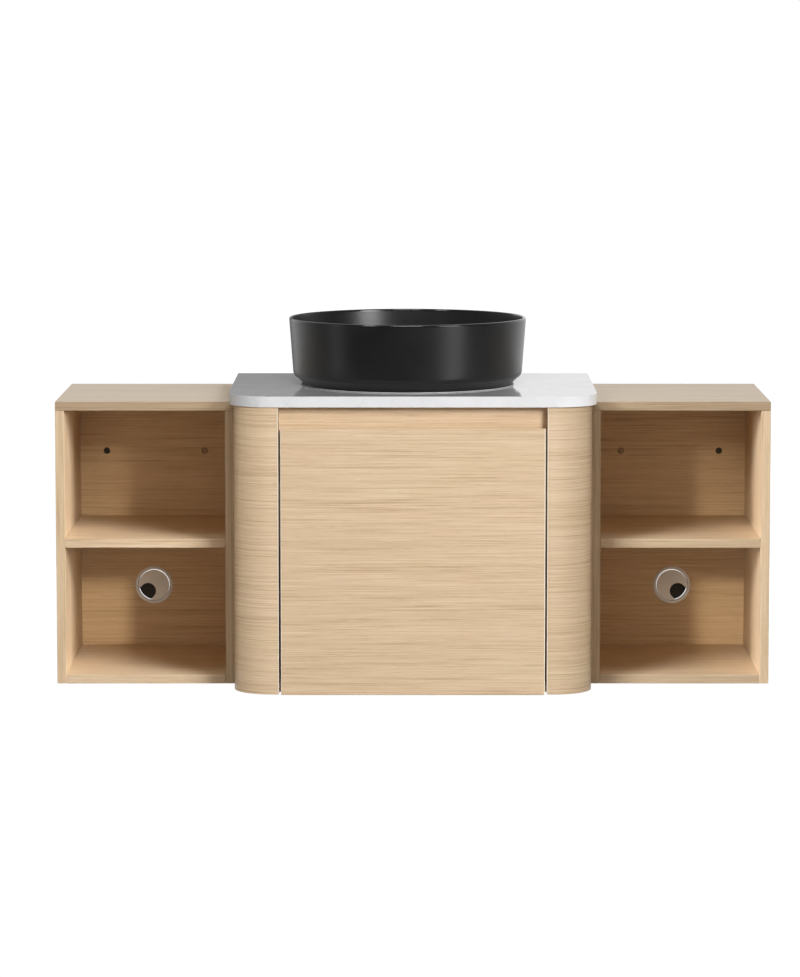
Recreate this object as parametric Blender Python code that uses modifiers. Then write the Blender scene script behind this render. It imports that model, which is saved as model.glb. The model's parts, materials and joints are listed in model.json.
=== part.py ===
"""Wall-hung bathroom vanity: a curved drawer cabinet with a stone top and a vessel basin,
between two open shelf cabinets. Metres, +Z up, front towards -Y, wall plane at Y = 0.

Every height below is measured from the underside of the centre cabinet. The empty
"vanity_frame" carries all the pieces and puts the world origin at the middle of the
hanging rail's rear face, where the vanity meets the wall.
"""

from math import cos, pi, radians, sin

import bmesh
import bpy
from mathutils import Vector

# Driving dimensions
TOTAL_WIDTH = 1.200
BODY_WIDTH = 0.598
BODY_DEPTH = 0.455
BODY_HEIGHT = 0.480
BODY_CORNER = 0.065
COUNTER_WIDTH = 0.614
COUNTER_DEPTH = 0.460
COUNTER_CORNER = 0.075
COUNTER_THICK = 0.018
SIDE_DEPTH = 0.350
SIDE_BOTTOM = 0.002
SIDE_TOP = 0.4795
BOARD = 0.015
FRONT_BOARD = 0.018
GAP = 0.0003
HANG_HEIGHT = 0.420

# Drawer
OPENING_HALF = 0.2225
FRONT_HALF = 0.2195
FRONT_BOTTOM = -0.001
FRONT_TOP = 0.4445
RAIL_SETBACK = 0.021
BOX_HALF = 0.2095
BOX_BOTTOM = 0.030
BOX_TOP = 0.250
BOX_BACK = -0.040
BOX_BOARD = 0.012
NOTCH_HALF = 0.076
NOTCH_FRONT = -0.300
SLIDE_LENGTH = 0.395
SLIDE_HEIGHT = 0.150
SLIDE_STEEL = 0.0012

# Basin and waste, heights above the counter's top
BASIN_X, BASIN_Y = -0.009, -0.222
BASIN_RADIUS = 0.2015
BASIN_HEIGHT = 0.115
BASIN_LIP = 0.0025
FOOT_RADIUS = 0.179
WASTE_HOLE = 0.0225
WASTE_OUTER = 0.0215
WASTE_INNER = 0.0185

# Side cabinets
SHELF_BOTTOM = 0.2328
BACK_FACE = -0.010
BACK_THICK = 0.006
GROMMET_X, GROMMET_Z = 0.457, 0.124
GROMMET_HOLE = 0.030
CAP_RADIUS = 0.0278
CABLE_RADIUS = 0.0134
CABLE_OFFSET = 0.0147
FIXING_Z = 0.362
FIXING_OUTER_X, FIXING_INNER_X = 0.5385, 0.366
FIXING_HOLE = 0.00575

ROUND_STEPS = 56
SMALL_STEPS = 32
EDGE = 0.0006

FACING_FRONT = (radians(90), 0, 0)
COUNTER_TOP = BODY_HEIGHT + COUNTER_THICK
BASIN_ORIGIN = (BASIN_X, BASIN_Y, COUNTER_TOP)


def clear_scene():
    for obj in list(bpy.data.objects):
        bpy.data.objects.remove(obj, do_unlink=True)


def new_collection(name, hidden=False):
    collection = bpy.data.collections.new(name)
    collection.hide_render = hidden
    bpy.context.scene.collection.children.link(collection)
    return collection


def new_material(name, colour, roughness, metallic=0.0):
    material = bpy.data.materials.new(name)
    material.use_nodes = True
    shader = material.node_tree.nodes["Principled BSDF"]
    shader.inputs["Base Color"].default_value = (*colour, 1)
    shader.inputs["Roughness"].default_value = roughness
    shader.inputs["Metallic"].default_value = metallic
    return material


clear_scene()
PARTS = new_collection("vessel_sink_vanity")
CUTTERS = new_collection("vanity_cutters", hidden=True)
FRAME = bpy.data.objects.new("vanity_frame", None)
FRAME.location = (0, 0, -HANG_HEIGHT)
PARTS.objects.link(FRAME)

OAK = ("oak", (0.68, 0.51, 0.32), 0.55)
WHITE_STONE = ("white_stone", (0.88, 0.88, 0.88), 0.12)
BLACK_CERAMIC = ("black_ceramic", (0.015, 0.015, 0.016), 0.35)
CHROME = ("chrome", (0.75, 0.76, 0.78), 0.08, 1.0)
RUBBER = ("rubber", (0.03, 0.03, 0.03), 0.7)
STEEL = ("steel", (0.62, 0.63, 0.65), 0.3, 1.0)
GREY_BOARD = ("grey_board", (0.55, 0.54, 0.52), 0.6)
TAUPE_PLASTIC = ("taupe_plastic", (0.33, 0.29, 0.24), 0.45)
BLACK_FOAM = ("black_foam", (0.012, 0.012, 0.012), 0.95)
SILICONE = ("silicone", (0.7, 0.7, 0.7), 0.5)
WHITE_PLASTIC = ("white_plastic", (0.8, 0.8, 0.8), 0.4)
DARK_STEEL = ("dark_steel", (0.05, 0.045, 0.04), 0.5, 1.0)


def add_piece(name, mesh, finish, location=(0, 0, 0), rotation=(0, 0, 0)):
    """Links the mesh as a named piece on the vanity's frame, in a material of its own."""
    piece = bpy.data.objects.new(name, mesh)
    PARTS.objects.link(piece)
    piece.parent = FRAME
    piece.location = location
    piece.rotation_euler = rotation
    mesh.materials.append(new_material(f"{name}_{finish[0]}", *finish[1:]))
    return piece


def mesh_from(bm, name):
    mesh = bpy.data.meshes.new(name)
    bm.to_mesh(mesh)
    bm.free()
    return mesh


def soften(piece, width=EDGE, segments=1):
    bevel = piece.modifiers.new("edges", "BEVEL")
    bevel.width = width
    bevel.segments = segments
    bevel.limit_method = "ANGLE"
    bevel.angle_limit = radians(40)
    return bevel


def box_bmesh(low, high):
    """A box centred on the origin; returns it and its centre's place."""
    low, high = Vector(low), Vector(high)
    bm = bmesh.new()
    bmesh.ops.create_cube(bm, size=1)
    bmesh.ops.scale(bm, vec=high - low, verts=bm.verts)
    return bm, (low + high) / 2


def board(name, low, high, finish=OAK, edge=EDGE):
    bm, centre = box_bmesh(low, high)
    piece = add_piece(name, mesh_from(bm, name), finish, centre)
    if edge:
        soften(piece, edge)
    return piece


def add_cutter(name, mesh, location, rotation=(0, 0, 0)):
    cutter = bpy.data.objects.new(name, mesh)
    CUTTERS.objects.link(cutter)
    cutter.parent = FRAME
    cutter.location = location
    cutter.rotation_euler = rotation
    cutter.display_type = "WIRE"
    cutter.hide_render = True
    return cutter


def cylinder_mesh(name, radius, length, steps=SMALL_STEPS):
    bm = bmesh.new()
    bmesh.ops.create_cone(
        bm, cap_ends=True, segments=steps, radius1=radius, radius2=radius, depth=length
    )
    return mesh_from(bm, name)


def cut(piece, cutter):
    """Cuts first of all, so that the edges of the cut are softened with the rest."""
    boolean = piece.modifiers.new(cutter.name, "BOOLEAN")
    boolean.operation = "DIFFERENCE"
    boolean.solver = "EXACT"
    boolean.object = cutter
    cuts = [m for m in piece.modifiers if m.type == "BOOLEAN"]
    piece.modifiers.move(len(piece.modifiers) - 1, len(cuts) - 1)


def drill(piece, radius, length, location, rotation=(0, 0, 0), steps=SMALL_STEPS):
    name = f"{piece.name}_hole_{len(piece.modifiers)}"
    cut(piece, add_cutter(name, cylinder_mesh(name, radius, length, steps), location, rotation))


def smooth(piece, angle=35):
    piece.data.shade_smooth()
    piece.data.set_sharp_from_angle(angle=radians(angle))


def turned(name, profile, finish, location, rotation=(0, 0, 0), steps=SMALL_STEPS, solid=False):
    """Spins a profile of (radius, height) points about Z. A hollow profile is a closed loop,
    and a solid one starts and ends on the axis."""
    bm = bmesh.new()
    points = [bm.verts.new((radius, 0, height)) for radius, height in profile]
    for first, second in zip(points, points[1:]):
        bm.edges.new((first, second))
    if not solid:
        bm.edges.new((points[-1], points[0]))
    piece = add_piece(name, mesh_from(bm, name), finish, location, rotation)
    screw = piece.modifiers.new("turn", "SCREW")
    screw.axis = "Z"
    screw.steps = screw.render_steps = steps
    screw.use_merge_vertices = True
    screw.merge_threshold = 0.00005
    screw.use_smooth_shade = True
    return piece


def arc(centre, radius, start, end, count):
    """Points from the start angle to the end angle, both in degrees."""
    angles = [radians(start + (end - start) * i / (count - 1)) for i in range(count)]
    return [(centre[0] + radius * cos(a), centre[1] + radius * sin(a)) for a in angles]


def bent_sheet(name, path, sweep, thickness, finish, corner=0.0, segments=10):
    """A sheet along a path through its middle, swept straight, with its folds rounded."""
    bm = bmesh.new()
    points = [bm.verts.new(p) for p in path]
    edges = [bm.edges.new(pair) for pair in zip(points, points[1:])]
    made = bmesh.ops.extrude_edge_only(bm, edges=edges)["geom"]
    bmesh.ops.translate(
        bm, vec=sweep, verts=[g for g in made if isinstance(g, bmesh.types.BMVert)]
    )
    if corner:
        folds = [e for e in bm.edges if len(e.link_faces) == 2]
        bmesh.ops.bevel(
            bm, geom=folds, offset=corner, offset_type="OFFSET", affect="EDGES",
            segments=segments, profile=0.5, material=-1,
        )
    bmesh.ops.recalc_face_normals(bm, faces=bm.faces)
    piece = add_piece(name, mesh_from(bm, name), finish)
    shell = piece.modifiers.new("thickness", "SOLIDIFY")
    shell.thickness = thickness
    shell.offset = 0
    shell.use_even_offset = True
    return piece


def rounded_slab(name, low, high, radius, finish, segments=12):
    """A box whose two front corners are rounded in plan."""
    bm, centre = box_bmesh(low, high)
    front = [
        e for e in bm.edges
        if e.verts[0].co.y < 0 and e.verts[1].co.y < 0 and abs(e.verts[0].co.z - e.verts[1].co.z) > 1e-6
    ]
    bmesh.ops.bevel(
        bm, geom=front, offset=radius, offset_type="OFFSET", affect="EDGES",
        segments=segments, profile=0.5, material=-1,
    )
    return add_piece(name, mesh_from(bm, name), finish, centre)


def sides():
    return (("left", -1), ("right", 1))


def span(a, b):
    return min(a, b), max(a, b)


def side_board(name, sign, x_from, x_to, y, z, finish=OAK, edge=EDGE):
    """A board between two distances from the centre line, on the side that sign gives."""
    x = span(sign * x_from, sign * x_to)
    return board(name, (x[0], y[0], z[0]), (x[1], y[1], z[1]), finish, edge)


# Centre cabinet


def curved_sides():
    half_thick = FRONT_BOARD / 2
    x, y = BODY_WIDTH / 2 - half_thick, BODY_DEPTH - half_thick
    for word, sign in sides():
        path = [(sign * x, 0, 0), (sign * x, -y, 0), (sign * OPENING_HALF, -y, 0)]
        height = (0, 0, BODY_HEIGHT - GAP)
        shell = bent_sheet(
            f"{word}_curved_side", path, height, FRONT_BOARD, OAK, BODY_CORNER - half_thick, 12
        )
        soften(shell)
        smooth(shell)


def carcase_boards():
    inside = OPENING_HALF - GAP
    front = -(BODY_DEPTH - RAIL_SETBACK)
    floor_top = 0.0015 + BOARD
    rounded_slab(
        "cabinet_bottom",
        (-BODY_WIDTH / 2 + FRONT_BOARD + GAP, front, 0.0015),
        (BODY_WIDTH / 2 - FRONT_BOARD - GAP, 0, floor_top),
        BODY_CORNER - FRONT_BOARD,
        OAK,
        8,
    )
    for word, sign in sides():
        side_board(
            f"{word}_inner_panel", sign, OPENING_HALF, OPENING_HALF + BOARD,
            (-BODY_DEPTH + FRONT_BOARD + GAP, 0), (floor_top + GAP, BODY_HEIGHT - GAP),
        )
    board("front_rail", (-inside, front, 0.400), (inside, front + 0.016, BODY_HEIGHT - GAP))
    rail = board(
        "hanging_rail", (-inside, -FRONT_BOARD, HANG_HEIGHT - 0.040), (inside, 0, HANG_HEIGHT + 0.040),
        edge=0,
    )
    for x in (-0.150, 0.150):
        drill(rail, 0.004, 0.060, (x, -FRONT_BOARD / 2, HANG_HEIGHT), FACING_FRONT, 24)
    board("lower_back_rail", (-inside, -FRONT_BOARD, floor_top + GAP), (inside, 0, 0.097))


def countertop():
    half = COUNTER_WIDTH / 2
    top = rounded_slab(
        "countertop", (-half, -COUNTER_DEPTH, BODY_HEIGHT), (half, 0, COUNTER_TOP),
        COUNTER_CORNER, WHITE_STONE, 16,
    )
    drill(top, WASTE_HOLE, 0.060, (BASIN_X, BASIN_Y, COUNTER_TOP))
    soften(top, 0.0012)
    smooth(top)


# Basin and its waste, whose profiles are heights above the counter's top


def basin_profile():
    lip_outer = BASIN_RADIUS - BASIN_LIP
    rim = arc((lip_outer, BASIN_HEIGHT - BASIN_LIP), BASIN_LIP, 180, 0, 5)
    heel = arc((0.1825, 0.0245), 0.0125, 0, -68, 4)
    foot = [(0.1805, 0.0060), (FOOT_RADIUS, 0.0035), (FOOT_RADIUS, GAP), (0.160, GAP)]
    underside = [(0.158, 0.006), (0.045, 0.006), (0.043, GAP), (WASTE_HOLE, GAP)]
    floor = [(WASTE_HOLE, 0.0125), (0.034, 0.0128), (0.166, 0.0190)]
    cove = arc((0.1675, 0.0390), 0.0200, -72, -6, 4)
    return rim + heel + foot + underside + floor + cove


def basin():
    turned("basin", basin_profile(), BLACK_CERAMIC, BASIN_ORIGIN, steps=ROUND_STEPS)
    seal = [(0.150, 0.0057), (0.1572, 0.0057), (0.1572, GAP), (0.150, GAP)]
    turned("basin_seal_ring", seal, SILICONE, BASIN_ORIGIN, steps=ROUND_STEPS)


def tube_profile(inner, outer, low, high):
    return [(inner, high), (outer, high), (outer, low), (inner, low)]


def waste():
    body = [
        (WASTE_INNER, 0.0160), (0.0200, 0.0165), (0.0315, 0.0160), (0.0325, 0.0152),
        (0.0325, 0.0143), (WASTE_OUTER, 0.0143), (WASTE_OUTER, -0.055), (WASTE_INNER, -0.055),
    ]
    turned("waste_body", body, CHROME, BASIN_ORIGIN)
    turned("waste_top_washer", tube_profile(0.0228, 0.0310, 0.0131, 0.0140), RUBBER, BASIN_ORIGIN)
    below = -COUNTER_THICK - GAP
    turned(
        "waste_lower_washer", tube_profile(WASTE_OUTER + GAP, 0.033, below - 0.003, below),
        RUBBER, BASIN_ORIGIN,
    )
    tail = [
        (0.0218, -0.040), (0.0250, -0.040), (0.0250, -0.0575), (0.0160, -0.0600),
        (0.0160, -0.200), (0.0145, -0.200), (0.0145, -0.0553), (0.0218, -0.0553),
    ]
    turned("tailpiece", tail, CHROME, BASIN_ORIGIN)


def waste_nut():
    bm = bmesh.new()
    bmesh.ops.create_cone(
        bm, cap_ends=True, segments=6, radius1=0.032, radius2=0.032, depth=0.008
    )
    height = COUNTER_TOP - COUNTER_THICK - 0.0036 - 0.004
    place = (BASIN_X, BASIN_Y, height)
    nut = add_piece("waste_lock_nut", mesh_from(bm, "waste_lock_nut"), STEEL, place)
    drill(nut, WASTE_OUTER + GAP, 0.020, place)


def pop_up():
    height = COUNTER_TOP - 0.016
    guide_mesh = cylinder_mesh("pop_up_guide", WASTE_INNER - GAP, 0.004)
    guide = add_piece("pop_up_guide", guide_mesh, WHITE_PLASTIC, (BASIN_X, BASIN_Y, height))
    drill(guide, 0.0042, 0.020, (BASIN_X, BASIN_Y, height), steps=20)
    for turn in range(3):
        angle = radians(120 * turn)
        place = (BASIN_X + 0.0110 * cos(angle), BASIN_Y + 0.0110 * sin(angle), height)
        drill(guide, 0.005, 0.020, place, steps=20)
    cap = [
        (0, 0.0215), (0.0120, 0.0213), (0.0240, 0.0205), (0.0292, 0.0193), (0.0300, 0.0182),
        (0.0294, 0.0172), (0.0160, 0.0172), (0.0160, 0.0112), (0.0140, 0.0112), (0.0140, 0.0073),
        (0.0160, 0.0073), (0.0150, 0.0040), (0.0036, 0.0040), (0.0036, -0.0340), (0, -0.0340),
    ]
    turned("pop_up_stopper", cap, CHROME, BASIN_ORIGIN, solid=True)
    ring = arc((0.0161, 0.00925), 0.0017, 90, -210, 6)
    turned("stopper_seal", ring, RUBBER, BASIN_ORIGIN)


# Drawer


def drawer_front():
    low = (-FRONT_HALF, -BODY_DEPTH, FRONT_BOTTOM)
    high = (FRONT_HALF, -BODY_DEPTH + FRONT_BOARD, FRONT_TOP)
    bm, centre = box_bmesh(low, high)
    grip = [e for e in bm.edges if all(v.co.y > 0 and v.co.z > 0 for v in e.verts)]
    bmesh.ops.bevel(
        bm, geom=grip, offset=0.011, offset_type="OFFSET", affect="EDGES",
        segments=1, profile=0.5, material=-1,
    )
    front = add_piece("drawer_front", mesh_from(bm, "drawer_front"), OAK, centre)
    soften(front)


def drawer_box():
    front = -BODY_DEPTH + FRONT_BOARD + GAP
    inner = BOX_HALF - BOARD - GAP
    floor = BOX_BOTTOM + BOX_BOARD + GAP
    for word, sign in sides():
        side_board(
            f"drawer_{word}_side", sign, BOX_HALF - BOARD, BOX_HALF,
            (front, BOX_BACK), (BOX_BOTTOM, BOX_TOP), GREY_BOARD,
        )
        notch_wall = abs(sign * inner - BASIN_X) - NOTCH_HALF - 0.004 - GAP
        back_x = span(sign * inner, sign * (inner - notch_wall))
        board(
            f"drawer_{word}_back", (back_x[0], BOX_BACK - BOX_BOARD, floor),
            (back_x[1], BOX_BACK, BOX_TOP), GREY_BOARD,
        )
    bottom = board(
        "drawer_bottom", (-inner, front, BOX_BOTTOM), (inner, BOX_BACK, BOX_BOTTOM + BOX_BOARD),
        GREY_BOARD,
    )
    name = "plumbing_notch"
    bm, centre = box_bmesh(
        (BASIN_X - NOTCH_HALF, NOTCH_FRONT + 0.004, BOX_BOTTOM - 0.02),
        (BASIN_X + NOTCH_HALF, 0, BOX_BOTTOM + BOX_BOARD + 0.02),
    )
    cut(bottom, add_cutter(name, mesh_from(bm, name), centre))


def plumbing_shield():
    """The plastic wall that leads the drawer round the waste pipe."""
    wall = 0.004
    x, y = NOTCH_HALF + wall / 2, NOTCH_FRONT + wall / 2
    z = BOX_BOTTOM + BOX_BOARD + GAP
    path = [
        (BASIN_X - x, BOX_BACK, z), (BASIN_X - x, y, z), (BASIN_X + x, y, z), (BASIN_X + x, BOX_BACK, z)
    ]
    sweep = (0, 0, BOX_TOP - z)
    shield = bent_sheet("plumbing_shield", path, sweep, wall, WHITE_PLASTIC, 0.003, 3)
    smooth(shield)


def slide_member(name, sign, section, y_from, length):
    """A steel channel. Its section is points of (distance from the cabinet's inner face, height)."""
    path = [(sign * (OPENING_HALF - out), y_from, SLIDE_HEIGHT + up) for out, up in section]
    bent_sheet(name, path, (0, length, 0), SLIDE_STEEL, STEEL)


def drawer_slides():
    start = -BODY_DEPTH + FRONT_BOARD + 0.002
    cabinet = [(0.0108, 0.0219), (0.0010, 0.0219), (0.0010, -0.0219), (0.0108, -0.0219)]
    middle = [(0.0095, 0.0192), (0.0040, 0.0192), (0.0040, -0.0192), (0.0095, -0.0192)]
    drawer = [(0.0062, 0.0160), (0.0119, 0.0160), (0.0119, -0.0160), (0.0062, -0.0160)]
    for word, sign in sides():
        slide_member(f"{word}_slide_cabinet_member", sign, cabinet, start, SLIDE_LENGTH)
        slide_member(f"{word}_slide_middle_member", sign, middle, start + 0.002, SLIDE_LENGTH - 0.010)
        slide_member(f"{word}_slide_drawer_member", sign, drawer, start, SLIDE_LENGTH)


# Side cabinets


def side_cabinet(word, sign):
    inner_x, outer_x = BODY_WIDTH / 2 + 0.0013, TOTAL_WIDTH / 2
    inside = (inner_x + BOARD + GAP, outer_x - BOARD - GAP)
    depth = (-SIDE_DEPTH, 0)
    shelf_depth = (-SIDE_DEPTH, BACK_FACE - GAP)
    upright = (SIDE_BOTTOM, SIDE_TOP - BOARD - GAP)
    shelf = (SHELF_BOTTOM, SHELF_BOTTOM + BOARD)
    floor = (SIDE_BOTTOM, SIDE_BOTTOM + BOARD)
    side_board(f"{word}_cabinet_top", sign, inner_x, outer_x, depth, (SIDE_TOP - BOARD, SIDE_TOP))
    side_board(f"{word}_cabinet_outer_side", sign, outer_x - BOARD, outer_x, depth, upright)
    side_board(f"{word}_cabinet_inner_side", sign, inner_x, inner_x + BOARD, depth, upright)
    side_board(f"{word}_cabinet_shelf", sign, *inside, shelf_depth, shelf)
    side_board(f"{word}_cabinet_floor", sign, *inside, depth, floor)
    panel = side_board(
        f"{word}_cabinet_back", sign, *inside, (BACK_FACE, BACK_FACE + BACK_THICK),
        (floor[1] + GAP, upright[1]), edge=0,
    )
    for x in (FIXING_OUTER_X, FIXING_INNER_X):
        drill(panel, FIXING_HOLE, 0.040, (sign * x, BACK_FACE, FIXING_Z), FACING_FRONT, 24)
    drill(panel, GROMMET_HOLE, 0.040, (sign * GROMMET_X, BACK_FACE, GROMMET_Z), FACING_FRONT)


def hanger(word, sign):
    """The steel strip behind the back panel that hooks on the wall, and the screw that holds it."""
    rear = BACK_FACE + BACK_THICK
    side_board(
        f"{word}_hanger_strip", sign, FIXING_INNER_X - 0.025, FIXING_OUTER_X + 0.025,
        (rear + GAP, rear + GAP + 0.003), (FIXING_Z - 0.020, FIXING_Z + 0.020), DARK_STEEL,
    )
    head = [
        (0, 0.0052), (0.0030, 0.0051), (0.0045, 0.0046), (0.0052, 0.0036), (0.0052, 0.0024),
        (0.0026, 0.0024), (0.0026, 0), (0, 0),
    ]
    place = (sign * FIXING_INNER_X, rear, FIXING_Z)
    turned(f"{word}_hanger_screw", head, STEEL, place, FACING_FRONT, 24, solid=True)


def cable_grommet(word, sign):
    """A plastic ring in the back panel, a cap that turns in it and a foam dust seal behind."""
    place = (sign * GROMMET_X, BACK_FACE, GROMMET_Z)
    bore, ledge = CAP_RADIUS + 0.0005, CAP_RADIUS - 0.0016
    ring = [
        (bore, 0.0024), (0.0322, 0.0024), (0.0331, 0.0016), (0.0331, GAP), (0.0296, GAP),
        (0.0296, -0.0055), (ledge, -0.0055), (ledge, -0.0003), (bore, -0.0003),
    ]
    turned(f"{word}_grommet_ring", ring, TAUPE_PLASTIC, place, FACING_FRONT, 40)
    cap_mesh = cylinder_mesh(f"{word}_grommet_cap", CAP_RADIUS, 0.0022, 56)
    cap_place = (place[0], BACK_FACE - 0.0012, place[2])
    cap = add_piece(f"{word}_grommet_cap", cap_mesh, TAUPE_PLASTIC, cap_place, FACING_FRONT)
    cut(cap, cable_notch(f"{word}_cable_notch", sign, cap_place))
    soften(cap, 0.0003)
    smooth(cap)
    foam = cylinder_mesh(f"{word}_grommet_foam", ledge - GAP, 0.003, 40)
    foam_place = (place[0], BACK_FACE + 0.0039, place[2])
    add_piece(f"{word}_grommet_foam", foam, BLACK_FOAM, foam_place, FACING_FRONT)


def cable_notch(name, sign, place):
    """A slot with a round inner end, open through the cap's rim, down and away from the basin."""
    bm = bmesh.new()
    bmesh.ops.create_cone(
        bm, cap_ends=True, segments=40, radius1=CABLE_RADIUS, radius2=CABLE_RADIUS, depth=0.02
    )
    outward = [v for v in bm.verts if v.co.x > -1e-6]
    for vert in outward:
        vert.co.x += CAP_RADIUS
    bmesh.ops.translate(bm, vec=(CABLE_OFFSET, 0, 0), verts=bm.verts)
    turn = -pi / 4 if sign > 0 else -3 * pi / 4
    return add_cutter(name, mesh_from(bm, name), place, (radians(90), -turn, 0))


def build():
    curved_sides()
    carcase_boards()
    countertop()
    basin()
    waste()
    waste_nut()
    pop_up()
    drawer_front()
    drawer_box()
    plumbing_shield()
    drawer_slides()
    for word, sign in sides():
        side_cabinet(word, sign)
        hanger(word, sign)
        cable_grommet(word, sign)


build()
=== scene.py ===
"""Looks of the wall-hung vanity: oak laminate cabinets, a polished stone top and a matt black vessel basin.

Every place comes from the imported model's own boxes. Metres, +Z up, front towards -Y, wall plane at Y = 0.
"""

import json
import random
from math import atan2, cos, degrees, hypot, pi, radians, sin

import bmesh
import bpy
from mathutils import Matrix, Vector

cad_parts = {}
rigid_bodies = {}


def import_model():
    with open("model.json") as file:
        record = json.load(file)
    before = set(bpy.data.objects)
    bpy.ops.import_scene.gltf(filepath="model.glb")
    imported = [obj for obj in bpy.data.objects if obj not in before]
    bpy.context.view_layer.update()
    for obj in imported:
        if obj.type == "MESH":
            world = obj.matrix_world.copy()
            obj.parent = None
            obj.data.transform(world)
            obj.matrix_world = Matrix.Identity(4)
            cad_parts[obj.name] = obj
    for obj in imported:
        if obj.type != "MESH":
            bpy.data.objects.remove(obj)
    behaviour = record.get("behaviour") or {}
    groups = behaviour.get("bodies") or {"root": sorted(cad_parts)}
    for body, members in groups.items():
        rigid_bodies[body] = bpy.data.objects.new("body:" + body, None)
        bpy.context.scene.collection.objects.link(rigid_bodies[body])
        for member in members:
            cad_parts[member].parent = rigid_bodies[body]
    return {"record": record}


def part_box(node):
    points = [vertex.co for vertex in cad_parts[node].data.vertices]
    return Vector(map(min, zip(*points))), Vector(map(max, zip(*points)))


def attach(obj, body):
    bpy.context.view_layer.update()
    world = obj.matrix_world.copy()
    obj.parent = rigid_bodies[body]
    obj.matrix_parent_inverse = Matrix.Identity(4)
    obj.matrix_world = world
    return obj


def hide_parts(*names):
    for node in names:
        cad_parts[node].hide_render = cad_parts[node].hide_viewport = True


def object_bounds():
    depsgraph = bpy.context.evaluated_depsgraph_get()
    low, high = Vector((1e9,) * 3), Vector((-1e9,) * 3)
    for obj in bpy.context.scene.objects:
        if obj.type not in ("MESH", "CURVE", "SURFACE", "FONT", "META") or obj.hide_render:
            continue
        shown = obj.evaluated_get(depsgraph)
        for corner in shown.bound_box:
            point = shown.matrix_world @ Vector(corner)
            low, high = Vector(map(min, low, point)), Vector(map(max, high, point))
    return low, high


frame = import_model()
CAD_LOW, CAD_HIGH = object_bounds()
BODY_OF = {
    node: body
    for body, nodes in frame["record"]["behaviour"]["bodies"].items()
    for node in nodes
}
SLOT_OF = {row["node"]: row["material_slot"] for row in frame["record"]["subparts"]}
TURN_TO_FRONT = Matrix.Rotation(radians(90), 4, "X")
SIDES = (("left", -1), ("right", 1))


# Collections of the pieces that a light reaches, or that stop it


def new_collection(name, parent=None):
    collection = bpy.data.collections.new(name)
    (parent or bpy.context.scene.collection).children.link(collection)
    return collection


OAK_GROUPS = new_collection("oak_groups")
CENTRE_GROUP = new_collection("centre_cabinet_group", OAK_GROUPS)
POST_GROUP = new_collection("curved_side_group", OAK_GROUPS)
SIDE_GROUPS = {word: new_collection(f"{word}_cabinet_group", OAK_GROUPS) for word, _ in SIDES}
STONE_GROUP = new_collection("stone_top_group")
BASIN_GROUP = new_collection("basin_group")
FILL_GROUP = new_collection("oak_without_backs")
BACKS = new_collection("cabinet_backs")
BASIN_NODES = ("basin", "basin_seal_ring", "pop_up_stopper", "stopper_seal", "waste_body")
SIDE_SHARES = {
    "outer_wall": ("cabinet_outer_side_board",),
    "inner_boards": ("cabinet_shelf_board", "cabinet_floor_board"),
    "shading_boards": ("cabinet_inner_side_board", "curved_side_board", "cabinet_top_board"),
    "opening": ("cabinet_inner_side_board", "cabinet_top_board", "cabinet_shelf_board"),
    "back": ("cabinet_back_board",),
    "grommet": ("grommet_flange", "grommet_disc", "grommet_seal"),
}


def group_of(node):
    if node == "countertop":
        return STONE_GROUP
    if node in BASIN_NODES:
        return BASIN_GROUP
    if node.endswith("curved_side"):
        return POST_GROUP
    for word, group in SIDE_GROUPS.items():
        if node.startswith(tuple(f"{word}_{part}" for part in ("cabinet", "grommet", "hanger"))):
            return group
    return CENTRE_GROUP


# Materials


def new_finish(name, **sockets):
    """A material whose Principled shader has these values, its node tree and that shader."""
    material = bpy.data.materials.new(name)
    material.use_nodes = True
    tree = material.node_tree
    shader = tree.nodes["Principled BSDF"]
    for socket, value in sockets.items():
        shader.inputs[socket.replace("_", " ")].default_value = value
    return material, tree, shader


def add(tree, kind, inputs=None, **settings):
    """Adds a node and returns it. An input is a value or another node's output."""
    node = tree.nodes.new("ShaderNode" + kind)
    for key, value in settings.items():
        setattr(node, key, value)
    for key, value in (inputs or {}).items():
        if isinstance(value, bpy.types.NodeSocket):
            tree.links.new(value, node.inputs[key])
        else:
            node.inputs[key].default_value = value
    return node


def math_node(tree, operation, first, second=0.0, third=0.0):
    return add(tree, "Math", {0: first, 1: second, 2: third}, operation=operation).outputs[0]


def weighted_sum(tree, *parts):
    """Adds up factors, each given as (factor, share)."""
    total = None
    for factor, share in parts:
        part = math_node(tree, "MULTIPLY", factor, share)
        total = part if total is None else math_node(tree, "ADD", total, part)
    return total


def vector_math(tree, operation, first, second):
    return add(tree, "VectorMath", {0: first, 1: second}, operation=operation).outputs[0]


def noise(tree, place, stretch, detail=2.0, roughness=0.5):
    """Noise whose frequency along each axis, in cells per metre, is given by stretch."""
    scaled = vector_math(tree, "MULTIPLY", place, stretch)
    inputs = {"Vector": scaled, "Scale": 1.0, "Detail": detail, "Roughness": roughness}
    return add(tree, "TexNoise", inputs).outputs["Fac"]


def ramp(tree, factor, *stops):
    """A colour ramp. Each stop is (position, grey) or (position, (r, g, b))."""
    node = add(tree, "ValToRGB", {"Fac": factor})
    elements = node.color_ramp.elements
    for position, _ in stops[2:]:
        elements.new(position)
    for element, (position, colour) in zip(elements, stops):
        element.position = position
        element.color = (*colour, 1) if isinstance(colour, tuple) else (colour, colour, colour, 1)
    return node.outputs["Color"]


def mix(tree, factor, first, second, blend="MIX"):
    node = add(tree, "Mix", {0: factor}, data_type="RGBA", blend_type=blend)
    for index, value in ((6, first), (7, second)):
        if isinstance(value, bpy.types.NodeSocket):
            tree.links.new(value, node.inputs[index])
        else:
            node.inputs[index].default_value = (*value, 1)
    return node.outputs[2]


def spread(tree, factor, low, high):
    """Maps a factor between 0 and 1 onto a range."""
    inputs = {"Value": factor, "To Min": low, "To Max": high}
    return add(tree, "MapRange", inputs).outputs["Result"]


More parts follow.
